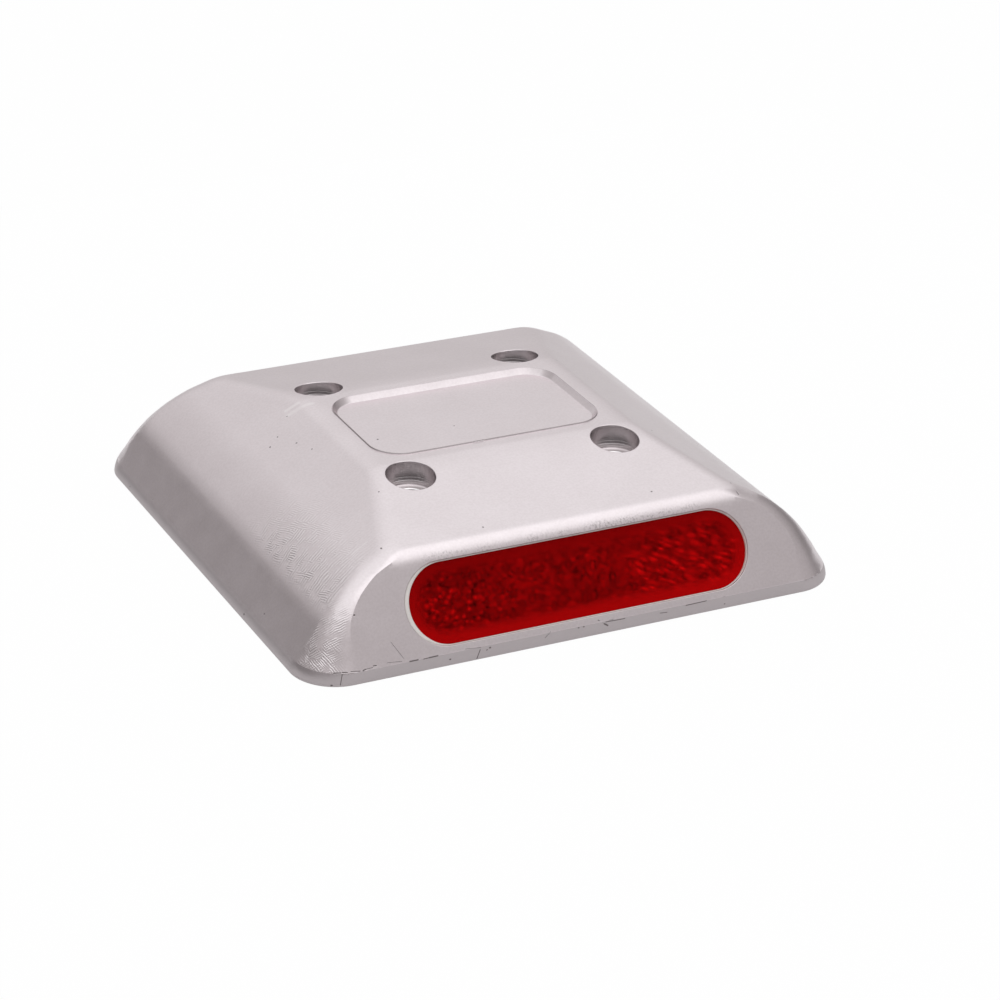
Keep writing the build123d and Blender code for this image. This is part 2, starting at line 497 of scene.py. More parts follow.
# Loose points of the skin, first in rings from its outline to the panel
loose = []
ring_count = ceil((body_depth - panel_depth) / 2 / ring_spacing)
for ring in range(1, ring_count):
    share = ring / ring_count
    loop = rounded_rectangle(
        body_width / 2 + share * (panel_width - body_width) / 2,
        body_depth / 2 + share * (panel_depth - body_depth) / 2,
        corner_radius + share * (panel_corner_radius - corner_radius),
        point_spacing,
    )
    clear = clear_of_cuts(loop[:, 0], loop[:, 1], keep_clear)
    loose.extend(loop[clear & inside_outline(loop[:, 0], loop[:, 1], edge_clear)])
for grow in lip_rings:
    for centre in hole_centres:
        loose.extend(circle(centre, counterbore_radius + hole_lip + grow, hole_steps))
    lip = 2 * (pocket_lip + grow)
    around = stadium(pocket_length + lip, pocket_height + lip, around_spacing)
    for end in ends.values():
        ring = on_pocket(end, around)
        loose.extend(ring[inside_outline(ring[:, 0], ring[:, 1], lip_clear), :2])

# Closer points over the rounded upright edges and along their creases, found for one corner
strip_from = (34.0, 38.0)  # X and Y
strip_to = (62.0, 59.0)
strip_border = 0.6
brow_border = 2.0  # height
crease_margin = 4.0  # from the last crease up to the crown
crease_clear = 0.6 * strip_spacing
just_inside = 0.01

strip_x, strip_y = np.meshgrid(*[np.arange(*reach, strip_spacing) for reach in zip(strip_from, strip_to)])
strip_x, strip_y = strip_x.ravel(), strip_y.ravel()
near_strip = np.abs(wall_height(strip_x, strip_y) - roof_height(strip_x, strip_y)) < brow_border
for step_x in (-strip_border, 0.0, strip_border):
    for step_y in (-strip_border, 0.0, strip_border):
        beside_x, beside_y = strip_x + step_x, strip_y + step_y
        share = corner_share(beside_x, beside_y, skin_height(beside_x, beside_y))
        near_strip |= (share > 0.01) & (share < 0.99)
near_strip &= inside_outline(strip_x, strip_y, edge_clear)
crease_z = np.arange(crease_heights[0], body_height - crease_margin, crease_spacing)
half_width, half_depth, radius, side_crease, end_crease = slice_at(crease_z)
round_x = half_width - radius * np.cos(side_crease)
round_y = half_depth - radius * np.cos(end_crease)
crease_x = np.concatenate((half_width, round_x + radius * np.sin(end_crease)))
crease_y = np.concatenate((round_y + radius * np.sin(side_crease), half_depth))
crease_wall = wall_height(crease_x - just_inside, crease_y - just_inside)
visible = crease_wall < roof_height(crease_x, crease_y) + brow_reach
crease_x, crease_y = crease_x[visible], crease_y[visible]
for x, y in zip(crease_x, crease_y):
    near_strip &= np.hypot(strip_x - x, strip_y - y) > crease_clear
strip_x = np.concatenate((strip_x[near_strip], crease_x))
strip_y = np.concatenate((strip_y[near_strip], crease_y))
for side_x, side_y in signs:
    clear = clear_of_cuts(side_x * strip_x, side_y * strip_y, keep_clear)
    loose.extend(np.column_stack((side_x * strip_x, side_y * strip_y))[clear])

casting = Shell()
plan, triangles, loops = triangulate(
    [outline, panel_rim, *hole_rims, *pocket_rims],
    loose,
    lambda x, y: clear_of_cuts(x, y, 0.0) & inside_outline(x, y, -outline_chord),
)
casting.fill(casting.add(level(plan, skin_height(plan[:, 0], plan[:, 1]))), triangles)
outline_loop, panel_loop, *cut_loops = loops
hole_loops = cut_loops[:len(hole_rims)]
pocket_loops = cut_loops[len(hole_rims):]


# Base band under the skin's outline, down to the underside's rim
def footprint(inset):
    """The casting's outline in plan, drawn in by an inset, with as many points as the skin's outline."""
    return grown(outline, body_width / 2 - corner_radius, body_depth / 2 - corner_radius, foot_round - inset)


band_rings = []
for inset in wall_insets:
    ring = footprint(inset)
    band_rings.append(level(ring, np.maximum(skin_height(ring[:, 0], ring[:, 1]), foot_height)))
for inset, height in foot_profile:
    band_rings.append(level(footprint(inset), height))
casting.walls(outline_loop, band_rings)
base_plan = footprint(foot_profile[-1][0])

# Panel in the crown
panel_run_x = panel_width / 2 - panel_corner_radius
panel_run_y = panel_depth / 2 - panel_corner_radius
panel_rings = []
for grow, drop in panel_profile:
    ring = grown(panel_rim, panel_run_x, panel_run_y, grow - panel_lip)
    panel_rings.append(level(ring, body_height - drop))
casting.cap(casting.walls(panel_loop, panel_rings))

# Counterbored screw holes
lower_profile = (  # radius and height
    (screw_hole_radius + seat_bevel, screw_seat_height),
    (screw_hole_radius, screw_seat_height - seat_bevel),
    (screw_hole_radius, exit_bevel),
    (screw_hole_radius + exit_bevel, 0.0),
)
for centre, rim, loop in zip(hole_centres, hole_rims, hole_loops):
    rim_height = skin_height(rim[:, 0], rim[:, 1])
    sizes = [(counterbore_radius + grow, rim_height + change) for grow, change in lip_profile]
    sizes += [(counterbore_radius + grow, screw_seat_height + rise) for grow, rise in bore_profile]
    sizes += lower_profile
    casting.walls(loop, [level(circle(centre, radius, hole_steps), height) for radius, height in sizes])

# Pockets for the reflectors
pocket_run = (pocket_length - pocket_height) / 2
for end, loop in zip(ends.values(), pocket_loops):
    rings = []
    for grow, depth in pocket_profile:
        rings.append(on_pocket(end, grown(pocket_rim, pocket_run, 0, grow - pocket_lip), depth))
    casting.cap(casting.walls(loop, rings))

# Underside with its cells
cell_rim = rounded_rectangle(cell_size / 2, cell_size / 2, cell_corner_radius, cell_spacing)
cell_rims = [cell_rim + centre for centre in cell_centres]
exit_rims = [circle(centre, screw_hole_radius + exit_bevel, hole_steps) for centre in hole_centres]


def on_underside(x, y):
    """Whether plan points lie on the underside, clear of its cells and screw holes."""
    clear = clear_of_holes(x, y, (screw_hole_radius + exit_bevel) * cos(pi / hole_steps))
    for cell_x, cell_y in cell_centres:
        away = rectangle_distance(x - cell_x, y - cell_y, cell_size / 2, cell_size / 2, cell_corner_radius)
        clear &= away > -cell_chord
    return clear


plan, triangles, loops = triangulate([base_plan, *cell_rims, *exit_rims], [], on_underside)
under = casting.add(level(plan, 0.0))
casting.fill(under, triangles)
for centre, loop in zip(cell_centres, loops[1:]):
    rings = [level(cell_rim * (1 - 2 * inset / cell_size) + centre, height) for inset, height in cell_profile]
    casting.cap(casting.walls([under[number] for number in loop], rings))

casting_piece = casting.make("casting", radians(12))

# Lens: a clear red front with a rounded edge over a moulded field of prisms
lens_rim = 1.9
front_thickness = 0.7
front_profile = (  # growth from the lens's outline and depth
    (-0.45, 0.0), (-0.2, 0.04), (-0.05, 0.16), (0.0, 0.4), (0.0, front_thickness),
)
layer_gap = 0.02  # between the front and the field behind it
field_top = lens_set_back + front_thickness + layer_gap
field_gap = 0.17
field_step = 0.8  # width over which the field sinks by the gap
field_spacing = 0.17
field_clear = 0.2
relief_depth = 0.15
lens_spacing = 0.4
side_gap = 0.05
rim_profile = (  # growth from the field's outline and depth
    (0.6, field_top),
    (1.2, field_top),
    (lens_rim - side_gap, field_top),
    (lens_rim - side_gap, lens_thickness),
)
streak_angle = radians(-28)
oval_half_sizes = (0.62, 1.1)
oval_marks = (  # along and up from the lens's middle
    (7.9, 3.9), (7.3, -1.6), (11.8, -4.6), (-2.0, -1.9), (3.3, 1.7), (0.9, 0.6), (-11.7, -2.5),
    (-7.2, -5.1), (-16.8, -5.4), (2.2, -4.7), (0.1, -4.8), (-2.2, 2.7), (12.0, 0.7),
)

# Adhesive round the lens, with a fine gap along the pocket's wall
bed_points = 420
bed_sink = 0.35  # deeper above and below the lens
bed_profile = (  # share of the way from the pocket's wall to the lens, and depth
    (0.0, pocket_depth), (0.0, 0.9), (0.09, 0.75), (0.16, 0.36), (0.35, 0.3),
    (0.7, 0.32), (0.95, 0.42), (1.0, 0.6), (1.0, pocket_depth),
)


def chance(i, j, seed):
    """Numbers from 0 to 1 that look random but are the same for the same whole numbers."""
    mixed_up = np.sin(i * 127.1 + j * 311.7 + seed * 74.7) * 43758.5453
    return mixed_up - np.floor(mixed_up)


def soft_noise(u, v, seed):
    """Smooth noise from 0 to 1 with about one bump for each unit of length."""
    i, j = np.floor(u), np.floor(v)
    a, b = smooth(u - i, 0, 1), smooth(v - j, 0, 1)
    lower = chance(i, j, seed) * (1 - a) + chance(i + 1, j, seed) * a
    upper = chance(i, j + 1, seed) * (1 - a) + chance(i + 1, j + 1, seed) * a
    return lower * (1 - b) + upper * b


def scattered(u, v, pitch, half_size, seed):
    """Soft spots from 0 to 1 in staggered rows, with chance in their places, sizes and strengths."""
    spots = np.zeros(len(u))
    column, row = np.round(u / pitch[0]), np.round(v / pitch[1])
    for step_u in (-2, -1, 0, 1):
        for step_v in (-1, 0, 1):
            i, j = column + step_u, row + step_v
            away_u = u - (i + 0.5 * np.mod(j, 2) + 0.7 * (chance(i, j, seed) - 0.5)) * pitch[0]
            away_v = v - (j + 0.7 * (chance(i, j, seed + 1) - 0.5)) * pitch[1]
            size = 0.7 + 0.6 * chance(i, j, seed + 2)
            reach = (away_u / half_size[0] / size) ** 2 + (away_v / half_size[1] / size) ** 2
            spots = np.maximum(spots, np.exp(-reach) * chance(i, j, seed + 3))
    return spots


def ovals(u, v):
    """Dark rings of the stretched round marks in the middle of the lens."""
    dark = np.zeros(len(u))
    for number, (centre_u, centre_v) in enumerate(oval_marks):
        size = 0.8 + 0.4 * chance(number, 1, 1)
        away_u = (u - centre_u - 0.15 * (v - centre_v)) / oval_half_sizes[0] / size
        away_v = (v - centre_v) / oval_half_sizes[1] / size
        ring = np.exp(-((np.hypot(away_u, away_v) - 1) / 0.45) ** 2)
        ring = ring * (0.45 + 0.55 * np.clip(np.abs(away_u), 0, 1))
        dark = np.maximum(dark, ring * (0.5 + 0.5 * chance(number, 2, 2)))
    return dark * (0.3 + 1.2 * soft_noise(u / 0.6, v / 0.6, 11))


def lens_pattern(u, v):
    """Brightness of the moulded field, about 0 to 1, painted as colour for the light its prisms throw back:
    small dots, a mottled part and slanted streaks.
    """
    along = u * cos(streak_angle) + v * sin(streak_angle)
    over = v * cos(streak_angle) - u * sin(streak_angle) + 1.3 * (soft_noise(u / 4, v / 3, 5) - 0.5)
    patches = soft_noise(u / 5, v / 4, 1)
    fine = soft_noise(u / 0.5, v / 0.5, 2) - 0.5
    blotches = soft_noise(u / 1.3, v / 1.3, 12) - 0.5
    mottle = 0.22 * fine + 0.14 * blotches
    left = smooth(u, -6, -24)
    right = smooth(u, 1, 20)
    middle = 0.18 + 0.5 * scattered(along, over, (1.7, 1.0), (0.6, 0.34), 33) * (0.3 + 0.8 * patches)
    dots = 0.13 + 0.56 * scattered(u, v, (1.35, 1.15), (0.44, 0.4), 3) * (0.35 + 0.9 * patches)
    streaks = 0.18 + 0.75 * scattered(along, over, (2.6, 1.25), (1.05, 0.4), 21) * (0.5 + 0.8 * patches)
    pattern = middle + left * (dots - middle) + right * (streaks - middle) + mottle
    return np.clip(pattern * (1 - 0.75 * ovals(u, v)), 0.02, 1)


def lens_painted_light(u, v):
    """Painted light of the whole lens: the field's painted light inside a smooth rim painted brighter below than
    above, with the field painted darker towards its top as shade.
    """
    inside = -stadium_distance(u, v, lens_length, lens_height)
    height = 2 * v / lens_height
    rim = 0.41 - 0.15 * height + 0.06 * smooth(u, 0, lens_length / 2)
    shade = 1.12 - 0.24 * smooth(height, 0.1, 0.9)
    field = smooth(inside, 0.9, 3.6)
    return rim + (lens_pattern(u, v) * shade - rim) * field


def paint(piece, name, values):
    """Stores one number for each point of a mesh, for its material."""
    attribute = piece.data.attributes.new(name, "FLOAT", "POINT")
    attribute.data.foreach_set("value", np.asarray(values, np.float32))


def mesh_points(piece):
    """The points of a mesh in millimetres, as an array."""
    points = np.empty(3 * len(piece.data.vertices), np.float32)
    piece.data.vertices.foreach_get("co", points)
    return points.reshape(-1, 3).astype(float) / millimetre


lens_run = (lens_length - lens_height) / 2
lens_outline = stadium(lens_length, lens_height, lens_spacing)
pocket_outline = stadium(pocket_length, pocket_height, lens_spacing)
field_length = lens_length - 2 * lens_rim
field_height = lens_height - 2 * lens_rim
field_outline = stadium(field_length, field_height, lens_spacing)


def in_field(u, v):
    """Distance inside the moulded field's outline, negative outside."""
    return -stadium_distance(u, v, field_length, field_height)


def make_front(name, end):
    """The clear front of a lens."""
    rings = []
    for grow, depth in front_profile:
        rings.append(on_lens(end, grown(lens_outline, lens_run, 0, grow), lens_set_back + depth))
    front = Shell()
    first = front.add(rings[0])
    front.cap(first)
    front.cap(front.walls(first, rings[1:]))
    return front.make(name + "_lens_front", radians(50))


def make_prisms(name, end):
    """The moulded field behind a lens's front, with a smooth rim round it and its painted light stored."""
    half_u, half_v = field_length / 2, field_height / 2
    grid = np.meshgrid(np.arange(-half_u, half_u, field_spacing), np.arange(-half_v, half_v, field_spacing))
    grid = np.column_stack([values.ravel() for values in grid])
    grid = grid[in_field(grid[:, 0], grid[:, 1]) > field_clear]
    plan, triangles, loops = triangulate([field_outline], grid, lambda u, v: in_field(u, v) > 0)
    sunken = smooth(in_field(plan[:, 0], plan[:, 1]), 0, field_step)
    relief = relief_depth * (1 - np.clip(lens_pattern(plan[:, 0], plan[:, 1]), 0, 1)) * sunken
    prisms = Shell()
    numbers = prisms.add(on_lens(end, plan, field_top + field_gap * sunken + relief))
    prisms.fill(numbers, triangles)
    rings = [on_lens(end, grown(field_outline, lens_run, 0, grow), depth) for grow, depth in rim_profile]
    prisms.cap(prisms.walls([numbers[number] for number in loops[0]], rings))
    piece = prisms.make(name + "_lens_prisms", radians(30))
    x, y, z = mesh_points(piece).T
    up_face = (end_foot[0] - np.abs(y)) * sin(end_lean) + (z - end_foot[1]) * cos(end_lean)
    # Painted light: the lens's brightness, stored for its colour
    paint(piece, "painted_return", lens_painted_light(-end * x - lens_shift, up_face - lens_rise))
    return piece


def make_bed(name, end):
    """The adhesive between a pocket's wall and its lens."""
    outer = evenly(pocket_outline, bed_points) + (pocket_shift, lens_rise)
    inner = evenly(lens_outline, bed_points) + (lens_shift, lens_rise)
    sunken = bed_sink * smooth(np.abs(outer[:, 1] - lens_rise) * 2 / pocket_height, 0.75, 1.0)
    rings = []
    for share, depth in bed_profile:
        ring = outer + (inner - outer) * share
        rings.append(face_point(end, ring[:, 0], ring[:, 1], np.minimum(depth + sunken, pocket_depth)))
    bed = Shell()
    first = bed.add(rings[0])
    bed.bridge(bed.walls(first, rings[1:]), first)
    return bed.make(name + "_adhesive", radians(60))


inserts = {}
for name, end in ends.items():
    inserts[name] = (make_front(name, end), make_prisms(name, end), make_bed(name, end))


def smooth_skin(piece):
    """Gives the faces on the casting's outer skin the skin's own normals, kept apart along its creases."""
    tolerance = 0.002
    rim_clear = 0.04
    crease_from = (40, 38)  # X and Y
    lean_inward = 0.15  # share of the way from a face's corner to its middle
    crease_angle = radians(3)
    mesh = piece.data
    points = mesh_points(piece)
    x, y, z = points.T
    edge = rectangle_distance(x, y, body_width / 2, body_depth / 2, corner_radius)
    on_skin = (np.abs(z - skin_height(x, y)) < tolerance) & (edge < -rim_clear)
    normals = np.zeros((len(points), 3))
    normals[on_skin] = skin_normal(x[on_skin], y[on_skin])
    corners = np.empty(len(mesh.loops), np.int32)
    mesh.loops.foreach_get("vertex_index", corners)
    counts = np.empty(len(mesh.polygons), np.int32)
    mesh.polygons.foreach_get("loop_total", counts)
    starts = np.concatenate(((0,), np.cumsum(counts)[:-1]))
    middles = np.add.reduceat(points[corners], starts) / counts[:, None]
    whole = np.repeat(np.logical_and.reduceat(on_skin[corners], starts), counts)
    corner_normals = np.where(whole[:, None], normals[corners], 0)
    near_crease = whole & (np.abs(points[corners, :2]) > crease_from).all(axis=1)
    aside = points[corners] + lean_inward * (np.repeat(middles, counts, axis=0) - points[corners])
    beside = np.zeros_like(corner_normals)
    beside[near_crease] = skin_normal(*aside[near_crease, :2].T)
    creased = near_crease & ((beside * corner_normals).sum(axis=1) < cos(crease_angle))
    corner_normals[creased] = beside[creased]
    mesh.normals_split_custom_set(corner_normals.tolist())


smooth_skin(casting_piece)

# How far round an upright edge each point of the casting is, and a painted shade line along the panel's edge
edge_shade_middle = 0.03  # outward from the panel's outline
edge_shade_half_width = 0.035
edge_shade_drop = 0.06
x, y, z = mesh_points(casting_piece).T
paint(casting_piece, "round_edge", corner_share(x, y, z))
from_panel = rectangle_distance(x, y, panel_width / 2, panel_depth / 2, panel_corner_radius)
# Painted shade: a thin dark line just outside the panel's top edge
in_edge_shade = np.abs(from_panel - edge_shade_middle) < edge_shade_half_width
paint(casting_piece, "panel_edge_shade", in_edge_shade & (z > body_height - edge_shade_drop))


# Materials
class Signal:
    """What a shader node works out for each place: a number, a vector, a colour or a shader."""

    def __init__(self, tree, socket):
        self.tree = tree
        self.socket = socket

    def __add__(self, other):
        return arithmetic("ADD", self, other)

    def __sub__(self, other):
        return arithmetic("SUBTRACT", self, other)

    def __rsub__(self, other):
        return arithmetic("SUBTRACT", other, self)

    def __mul__(self, other):
        return arithmetic("MULTIPLY", self, other)

    def __truediv__(self, other):
        return arithmetic("DIVIDE", self, other)

    def __abs__(self):
        return arithmetic("ABSOLUTE", self)

    def ramp(self, start, finish, low=0.0, high=1.0):
        """Goes smoothly from low to high as this number goes from start to finish."""
        node = self.tree.nodes.new("ShaderNodeMapRange")
        node.interpolation_type = "SMOOTHSTEP"
        limits = {"From Min": start, "From Max": finish, "To Min": low, "To Max": high}
        set_sockets(node, {"Value": self, **limits})
        return Signal(self.tree, node.outputs["Result"])

    def noise(self, scale, detail=2.0):
        """Smooth noise over this place, with a scale in bumps for each metre."""
        node = self.tree.nodes.new("ShaderNodeTexNoise")
        set_sockets(node, {"Vector": self, "Scale": scale, "Detail": detail})
        return Signal(self.tree, node.outputs["Fac"])

    def parts(self):
        """The X, Y and Z of this vector."""
        node = self.tree.nodes.new("ShaderNodeSeparateXYZ")
        feed(node.inputs["Vector"], self)
        return [Signal(self.tree, socket) for socket in node.outputs]


def feed(socket, value):
    """Links a signal to a socket, or sets the socket to a constant."""
    if isinstance(value, Signal):
        value.tree.links.new(value.socket, socket)
    else:
        socket.default_value = value


def set_sockets(node, values):
    """Feeds several of a node's sockets by their names."""
    for name, value in values.items():
        feed(node.inputs[name], value)


def computed(kind, operation, result, values):
    """A named output of a new node that combines signals and constants."""
    tree = next(value.tree for value in values if isinstance(value, Signal))
    node = tree.nodes.new(kind)
    node.operation = operation
    sockets = [socket for socket in node.inputs if socket.enabled]
    for socket, value in zip(sockets, values):
        feed(socket, value)
    return Signal(tree, node.outputs[result])


def arithmetic(operation, *values):
    """A number worked out from others."""
    return computed("ShaderNodeMath", operation, "Value", values)


def vectors(operation, result, *values):
    """A named output of a node that works with vectors."""
    return computed("ShaderNodeVectorMath", operation, result, values)


def between(share, first, second):
    """A number that goes from a first to a second as a share goes from 0 to 1."""
    return arithmetic("MULTIPLY_ADD", share, second - first, first)


def strongest(first, *others):
    """The largest of several numbers."""
    for other in others:
        first = arithmetic("MAXIMUM", first, other)
    return first


def mixed(share, first, second):
    """A colour that goes from a first to a second as a share goes from 0 to 1."""
    node = share.tree.nodes.new("ShaderNodeMix")
    node.data_type = "RGBA"
    sockets = [socket for socket in node.inputs if socket.enabled]
    for socket, value in zip(sockets, (share, first, second)):
        feed(socket, value)
    return Signal(share.tree, next(socket for socket in node.outputs if socket.enabled))


def mixed_shaders(share, first, second):
    """A shader that goes from a first to a second as a share goes from 0 to 1."""
    node = share.tree.nodes.new("ShaderNodeMixShader")
    for socket, value in zip(node.inputs, (share, first, second)):
        feed(socket, value)
    return Signal(share.tree, node.outputs["Shader"])


def stored(tree, name):
    """Numbers stored on a mesh."""
    node = tree.nodes.new("ShaderNodeAttribute")
    node.attribute_name = name
    return Signal(tree, node.outputs["Fac"])


def strokes(place, direction, pitch, wander):
    """Parallel ridges from 0 to 1, each a pitch apart in metres along a direction."""
    phase = vectors("DOT_PRODUCT", "Value", place, Vector(direction).normalized() * 2 * pi / pitch)
    bend = place.noise(0.25 / pitch, 1.0) * wander
    return arithmetic("MULTIPLY_ADD", arithmetic("SINE", phase + bend), 0.5, 0.5)


def line_mark(place, start, finish, width):
    """A number that is 1 on a straight mark between two places, given with its width in millimetres.

    Its nodes are made in the order in which they feed each other, so that few of their values wait at a time.
    """
    start = Vector(start) * millimetre
    run = Vector(finish) * millimetre - start
    offset = vectors("SUBTRACT", "Vector", place, start)
    share = vectors("DOT_PRODUCT", "Value", offset, run / run.length_squared)
    clamp = place.tree.nodes.new("ShaderNodeClamp")
    feed(clamp.inputs["Value"], share)
    nearest = vectors("SCALE", "Vector", run, Signal(place.tree, clamp.outputs["Result"]))
    reach = vectors("DISTANCE", "Value", offset, nearest)
    return reach.ramp(width * millimetre, 0.3 * width * millimetre)


def new_material(name):
    """A node material, its main shader and the place on the object that its nodes start from."""
    material = bpy.data.materials.new(name)
    material.use_nodes = True
    tree = material.node_tree
    place = Signal(tree, tree.nodes.new("ShaderNodeTexCoord").outputs["Object"])
    return material, tree.nodes["Principled BSDF"], place


# Cast aluminium: fine grain, mill marks near the corners with painted highlights on their ridge tops and painted
# shadows in their hollows, a foot painted darker as shade and made rougher, counterbore walls painted darker as
# shade, and a few pores and scratches
metal_dark = (0.765, 0.7, 0.717, 1)
metal_light = (0.865, 0.8, 0.823, 1)
# Painted shade colour, for the foot and for the hollows of the mill marks
metal_painted_shade = (0.44, 0.4, 0.41, 1)
# Painted shade colour for the counterbore walls
metal_bore_shade = (0.74, 0.7, 0.71, 1)
# Dark colour for pits and marks, and for the painted shade along the panel's edge
metal_pit_and_shade = (0.1, 0.08, 0.08, 1)
# Light colour for real scuffs and the screw seats, and for painted highlights on the mill marks' ridge tops
metal_scuff_and_highlight = (0.97, 0.93, 0.94, 1)
pore_scale = 105  # cells for each metre
front_marks = (  # X and height of the start and of the finish on the front end, and width
    ((-43.6, 7.0), (-41.5, 3.7), 0.055),
    ((-57.1, 0.5), (-57.0, 0.5), 0.3),
    ((-56.5, 3.1), (-55.3, 3.15), 0.2),
    ((-55.0, 2.9), (-55.4, 0.6), 0.13),
    ((-54.9, 3.2), (-54.0, 3.15), 0.2),
    ((-53.2, 3.25), (-51.3, 3.1), 0.16),
    ((-50.6, 3.1), (-50.0, 3.2), 0.22),
    ((-50.0, 3.2), (-48.5, 3.25), 0.12),
    ((-48.2, 3.5), (-47.7, 3.45), 0.24),
    ((-45.3, 3.55), (-42.0, 3.3), 0.065),
    ((-40.3, 3.0), (-38.5, 3.0), 0.22),
    ((-37.2, 2.9), (-36.0, 2.95), 0.16),
    ((-36.0, 2.95), (-34.1, 3.0), 0.22),
    ((-31.3, 1.55), (-31.2, 1.55), 0.25),
    ((-27.8, 3.15), (-24.4, 2.85), 0.08),
    ((-24.5, 2.35), (-25.2, 0.4), 0.14),
    ((-23.0, 1.95), (-22.9, 2.0), 0.18),
    ((-22.3, 2.35), (-22.2, 2.35), 0.28),
    ((-8.4, 3.1), (-9.6, 2.0), 0.09),
    ((-1.9, 2.7), (-1.8, 2.7), 0.2),
    ((-0.7, 2.7), (-0.6, 2.7), 0.2),
    ((2.8, 3.4), (5.0, 1.85), 0.16),
    ((4.2, 2.4), (5.0, 1.85), 0.24),
    ((4.5, 2.75), (9.0, 2.65), 0.12),
    ((17.4, 2.2), (19.1, 2.05), 0.1),
    ((23.6, 2.75), (28.5, 2.85), 0.14),
    ((33.0, 1.2), (33.1, 1.2), 0.16),
)
dark_marks = (  # start, finish and width
    ((41.0, -47.7, 21.5), (41.2, -48.7, 20.75), 0.3),
    ((-42.0, 9.3, 21.4), (-42.1, 9.2, 21.4), 0.28),
    ((-39.6, 11.0, 22.6), (-39.5, 11.1, 22.6), 0.22),
    ((-37.7, 4.9, 23.5), (-37.8, 5.0, 23.5), 0.25),
    ((-62.3, -25.0, 1.6), (-62.3, -25.1, 1.6), 0.3),
    ((-44.1, -46.9, 20.5), (-44.2, -46.9, 20.4), 0.2),
    ((-40.6, -45.0, 22.0), (-40.6, -45.1, 22.0), 0.3),
    ((-40.5, -46.8, 21.9), (-40.6, -46.8, 21.9), 0.22),
    ((-17.7, -45.2, 22.5), (-17.7, -45.3, 22.5), 0.25),
    ((-23.0, -4.7, 25.9), (-23.0, -4.6, 25.9), 0.3),
    ((0.5, -18.6, 27.2), (0.4, -18.7, 27.2), 0.3),
    ((-5.6, -15.8, 27.2), (-3.4, -15.8, 27.2), 0.2),
)
light_marks = (  # start, finish and width
    ((-29.4, 16.0, 27.1), (-34.8, 16.1, 24.8), 0.95),
    ((-31.7, 18.2, 26.3), (-34.6, 18.1, 25.0), 0.7),
    ((-41.7, -40.6, 21.6), (-45.4, -41.4, 19.85), 0.22),
)


def on_front(x, height):
    """The point of the casting's front end at an X and a height."""
    half_width, half_depth, radius, side_crease, end_crease = slice_at(height)
    past = max(abs(x) - half_width + radius * cos(side_crease), 0)
    y = radius * cos(end_crease) - half_depth - sqrt(radius**2 - past**2)
    return x, max(y, -half_depth), height


aluminium, shader, place = new_material("cast_aluminium")
place_x, place_y, rise = place.parts()
out_x, out_y = abs(place_x), abs(place_y)
folded = vectors("ABSOLUTE", "Vector", place)
round_edge = stored(place.tree, "round_edge")
grain = place.noise(1900)
cloud = place.noise(240)
mottle = place.noise(70, 3.0)

# Shares of the foot painted darker as shade and made rougher, the counterbore walls painted darker as shade, and
# the screw seats
on_side = round_edge.ramp(0.16, 0.02)
# Painted shade: the long sides darken below 3.5 mm and lighten a little again at the very bottom, and the end
# faces' base band is darker; the same share makes the foot rougher
shaded_side_foot = rise.ramp(3.5e-3, 2.1e-3) * on_side * rise.ramp(0.3e-3, 1.9e-3, 0.75, 1.0)
shaded_end_band = rise.ramp(3.0e-3, 2.95e-3, 0.0, 0.8) * (1.0 - on_side)
shaded_rough_foot = shaded_side_foot + shaded_end_band
hole_middle = Vector((hole_spacing_x / 2, hole_spacing_y / 2, 0)) * millimetre
from_hole = vectors("DISTANCE", "Value", vectors("MULTIPLY", "Vector", folded, (1, 1, 0)), hole_middle)
bore_edge = counterbore_radius * millimetre
seat = screw_seat_height * millimetre
in_hole = from_hole.ramp(bore_edge + 0.08e-3, bore_edge + 0.01e-3)
on_seat = in_hole * rise.ramp(seat + 0.1e-3, seat + 0.02e-3)
# Painted shade: the counterbore walls are painted darker, as inside a hole; the same share carries the turned
# rings
shaded_bore_wall = in_hole * rise.ramp(seat + 0.05e-3, seat + 0.3e-3)

# Mill marks from 0 to 1: slanted strokes low on the upright edges, and scallops on the front of the sides' bends
on_left = place_x.ramp(20e-3, -20e-3, 0.15, 1.0)
broken = place.noise(500).ramp(0.35, 0.6, 0.1, 1.0)
strip = round_edge.ramp(0.06, 0.2) * round_edge.ramp(0.85, 0.55)
strip = strip * rise.ramp(16e-3, 11e-3) * rise.ramp(2.6e-3, 3.4e-3) * broken * on_left
slant_one = strokes(folded, (0.16, -0.72, 0.68), 0.45e-3, 7.0)
slant_two = strokes(folded, (-0.73, 0.09, 0.68), 0.45e-3, 7.0)
herringbone = place.noise(420, 1.0).ramp(0.46, 0.54) * rise.ramp(9e-3, 6e-3)
milled = between(herringbone, slant_one, slant_two)
bend_area = out_x.ramp(37e-3, 45e-3) * rise.ramp(11e-3, 14.5e-3) * place_y.ramp(-4e-3, -24e-3)
bend_area = bend_area * rise.ramp(21.5e-3, 16.5e-3, 0.2, 1.0) * round_edge.ramp(0.3, 0.15) * broken
down_slope = strokes(folded, (-0.2, 1, 0.1), 0.8e-3, 8.0)
along_side = strokes(folded, (0.66, 0.35, -0.66), 0.5e-3, 8.0)
toward_end = arithmetic("MULTIPLY_ADD", out_y, 6.0, place.noise(380, 1.0))
scallops = between(toward_end.ramp(0.6, 0.68), along_side, down_slope)
# Painted highlights on the ridge tops of the mill marks and painted shadows in their hollows
crest_highlights = strongest(scallops.ramp(0.5, 0.95, 0.0, 0.9) * bend_area, milled.ramp(0.5, 0.95, 0.0, 0.9) * strip)
trough_shadows = strongest(scallops.ramp(0.4, 0.0, 0.0, 0.4) * bend_area, milled.ramp(0.45, 0.05, 0.0, 0.5) * strip)

